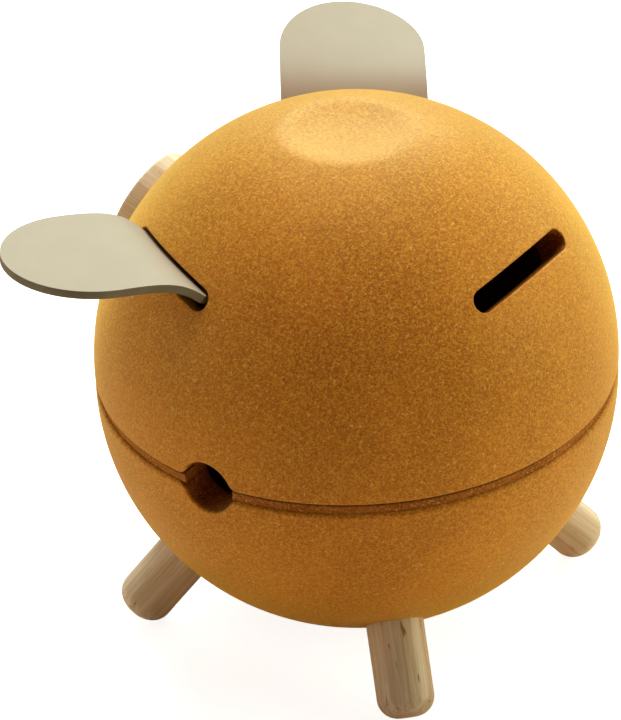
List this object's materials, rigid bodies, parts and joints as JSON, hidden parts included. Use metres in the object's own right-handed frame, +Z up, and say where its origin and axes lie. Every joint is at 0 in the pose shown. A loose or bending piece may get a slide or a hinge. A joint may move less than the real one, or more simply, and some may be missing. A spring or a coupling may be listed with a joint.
{
  "type": "money box",
  "caption": "Ball-shaped wooden pig money box: two halves that lift apart at a grooved seam, dowel legs and snout, bendable ears, coin slot at the back.",
  "frame": {"origin": "centre of the outline on the floor that the four feet stand on", "axes": "+Z up, the pig looks towards -Y, its left side and left ear are on +X, the coin slot faces +Y"},
  "size_m": [0.1392, 0.1172, 0.1191],
  "materials": {
    "pressed_wood": "pressed wood-dust composite, dyed orange-yellow, fine pale flecks, satin",
    "pale_wood": "pale rubberwood dowel, fine pores along the grain, sanded satin",
    "ear_sheet": "smooth flexible greige sheet, matte, darker cut edge"
  },
  "bodies": {
    "lower_half": {"lower_shell": "pressed_wood", "leg_front_left": "pale_wood", "leg_front_right": "pale_wood", "leg_rear_left": "pale_wood", "leg_rear_right": "pale_wood"},
    "upper_half": {"upper_shell": "pressed_wood", "snout": "pale_wood"},
    "ear_left": {"ear_left": "ear_sheet"},
    "ear_right": {"ear_right": "ear_sheet"}
  },
  "joints": [
    {"name": "lid_lift", "type": "slide", "parent": "lower_half", "child": "upper_half", "axis": [0, 0, 1], "range_m": [0, 0.07]},
    {"name": "ear_left_flex", "type": "hinge", "parent": "upper_half", "child": "ear_left", "pos_m": [0.03549, -0.02019, 0.09708], "axis": [-0.515, -0.8572, 0], "range_deg": [-11, 12], "stiffness_Nm_per_rad": 0.1},
    {"name": "ear_right_flex", "type": "hinge", "parent": "upper_half", "child": "ear_right", "pos_m": [-0.03549, -0.02019, 0.09708], "axis": [-0.515, 0.8572, 0], "range_deg": [-11, 12], "stiffness_Nm_per_rad": 0.1}
  ]
}
